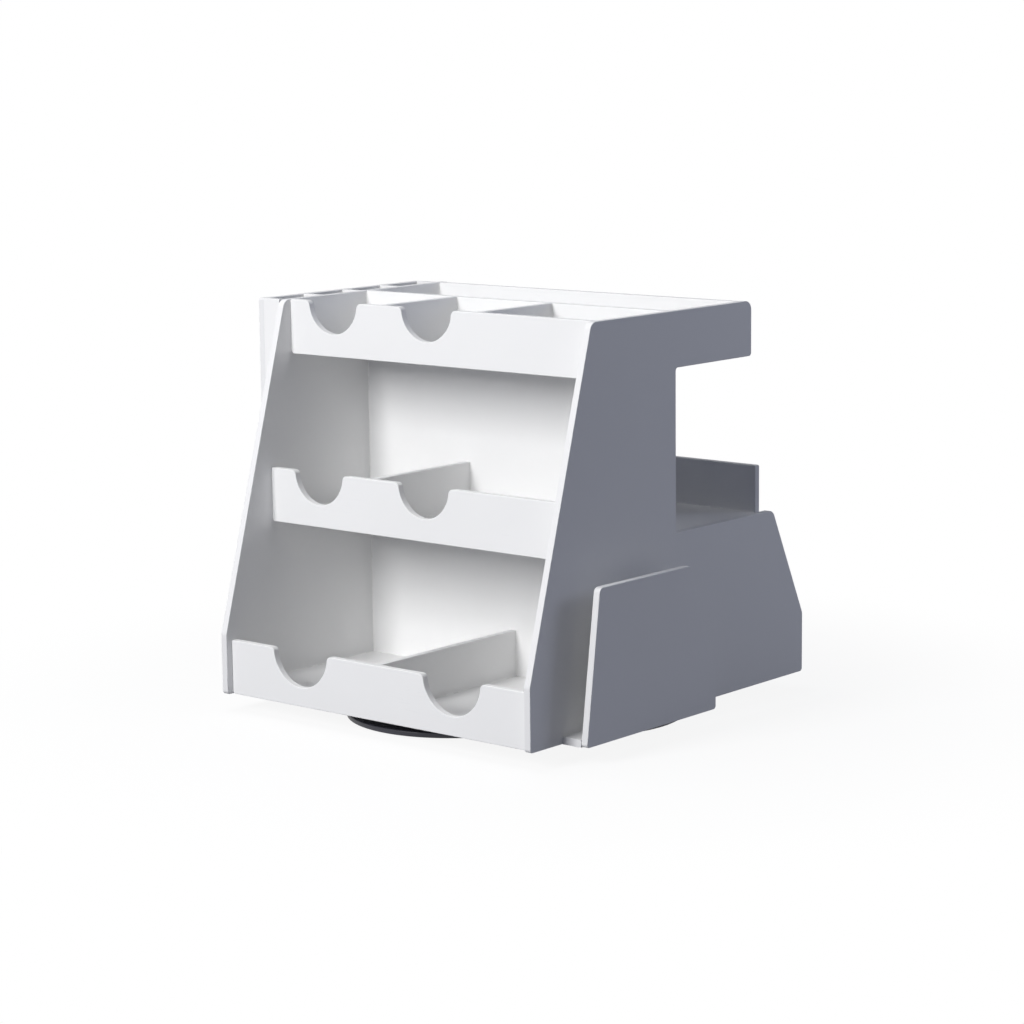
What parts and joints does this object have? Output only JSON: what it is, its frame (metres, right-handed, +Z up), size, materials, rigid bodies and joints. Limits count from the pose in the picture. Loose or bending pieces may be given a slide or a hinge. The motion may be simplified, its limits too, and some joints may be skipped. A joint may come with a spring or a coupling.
{
  "type": "rotating benchtop organizer",
  "caption": "Rotating benchtop organizer: open shelves and trays with notched lips, a pen rack and a literature pocket, on a ball-bearing turntable.",
  "frame": {"origin": "on the bench, on the spin axis, at the middle of the footprint", "axes": "+X to the right-hand side with the literature pocket, -Y to the front with the notched lips, +Z up along the spin axis"},
  "size_m": [0.3998, 0.381, 0.3542],
  "materials": {
    "white_sheet": "matte",
    "black_sheet": "matte",
    "black_rubber": "matte",
    "zinc_steel": "satin",
    "bright_steel": "polished",
    "nylon": "satin"
  },
  "bodies": {
    "turntable_base": {"base_plate": "black_sheet", "rubber_pads": "black_rubber", "bearing_lower_plate": "zinc_steel", "lower_plate_screws": "zinc_steel"},
    "ball_set": {"bearing_balls": "bright_steel", "ball_cage": "nylon"},
    "organizer": {"left_side_panel": "white_sheet", "right_side_panel": "white_sheet", "floor_plate": "white_sheet", "centre_wall": "white_sheet", "front_mid_shelf": "white_sheet", "front_top_shelf": "white_sheet", "rear_mid_shelf": "white_sheet", "rear_top_shelf": "white_sheet", "front_low_lip": "white_sheet", "front_mid_lip": "white_sheet", "front_top_lip": "white_sheet", "rear_low_lip": "white_sheet", "rear_mid_lip": "white_sheet", "rear_top_lip": "white_sheet", "low_divider": "white_sheet", "mid_divider": "white_sheet", "top_divider_left": "white_sheet", "top_divider_right": "white_sheet", "pocket_floor": "white_sheet", "pocket_plate": "white_sheet", "rack_plate": "white_sheet", "rack_floor": "white_sheet", "rack_front_cap": "white_sheet", "rack_rear_cap": "white_sheet", "pen_divider_1": "white_sheet", "pen_divider_2": "white_sheet", "pen_divider_3": "white_sheet", "bearing_upper_plate": "zinc_steel", "centre_rivet": "zinc_steel", "upper_plate_screws": "zinc_steel"}
  },
  "joints": [
    {"name": "turntable_spin", "type": "hinge", "parent": "turntable_base", "child": "organizer", "pos_m": [0, 0, 0.01104], "axis": [0, 0, 1], "continuous": true},
    {"name": "ball_roll", "type": "hinge", "parent": "turntable_base", "child": "ball_set", "pos_m": [0, 0, 0.01104], "axis": [0, 0, 1], "continuous": true}
  ],
  "couplings": [
    {"joint": "ball_roll", "follows": "turntable_spin", "ratio": 0.5}
  ]
}
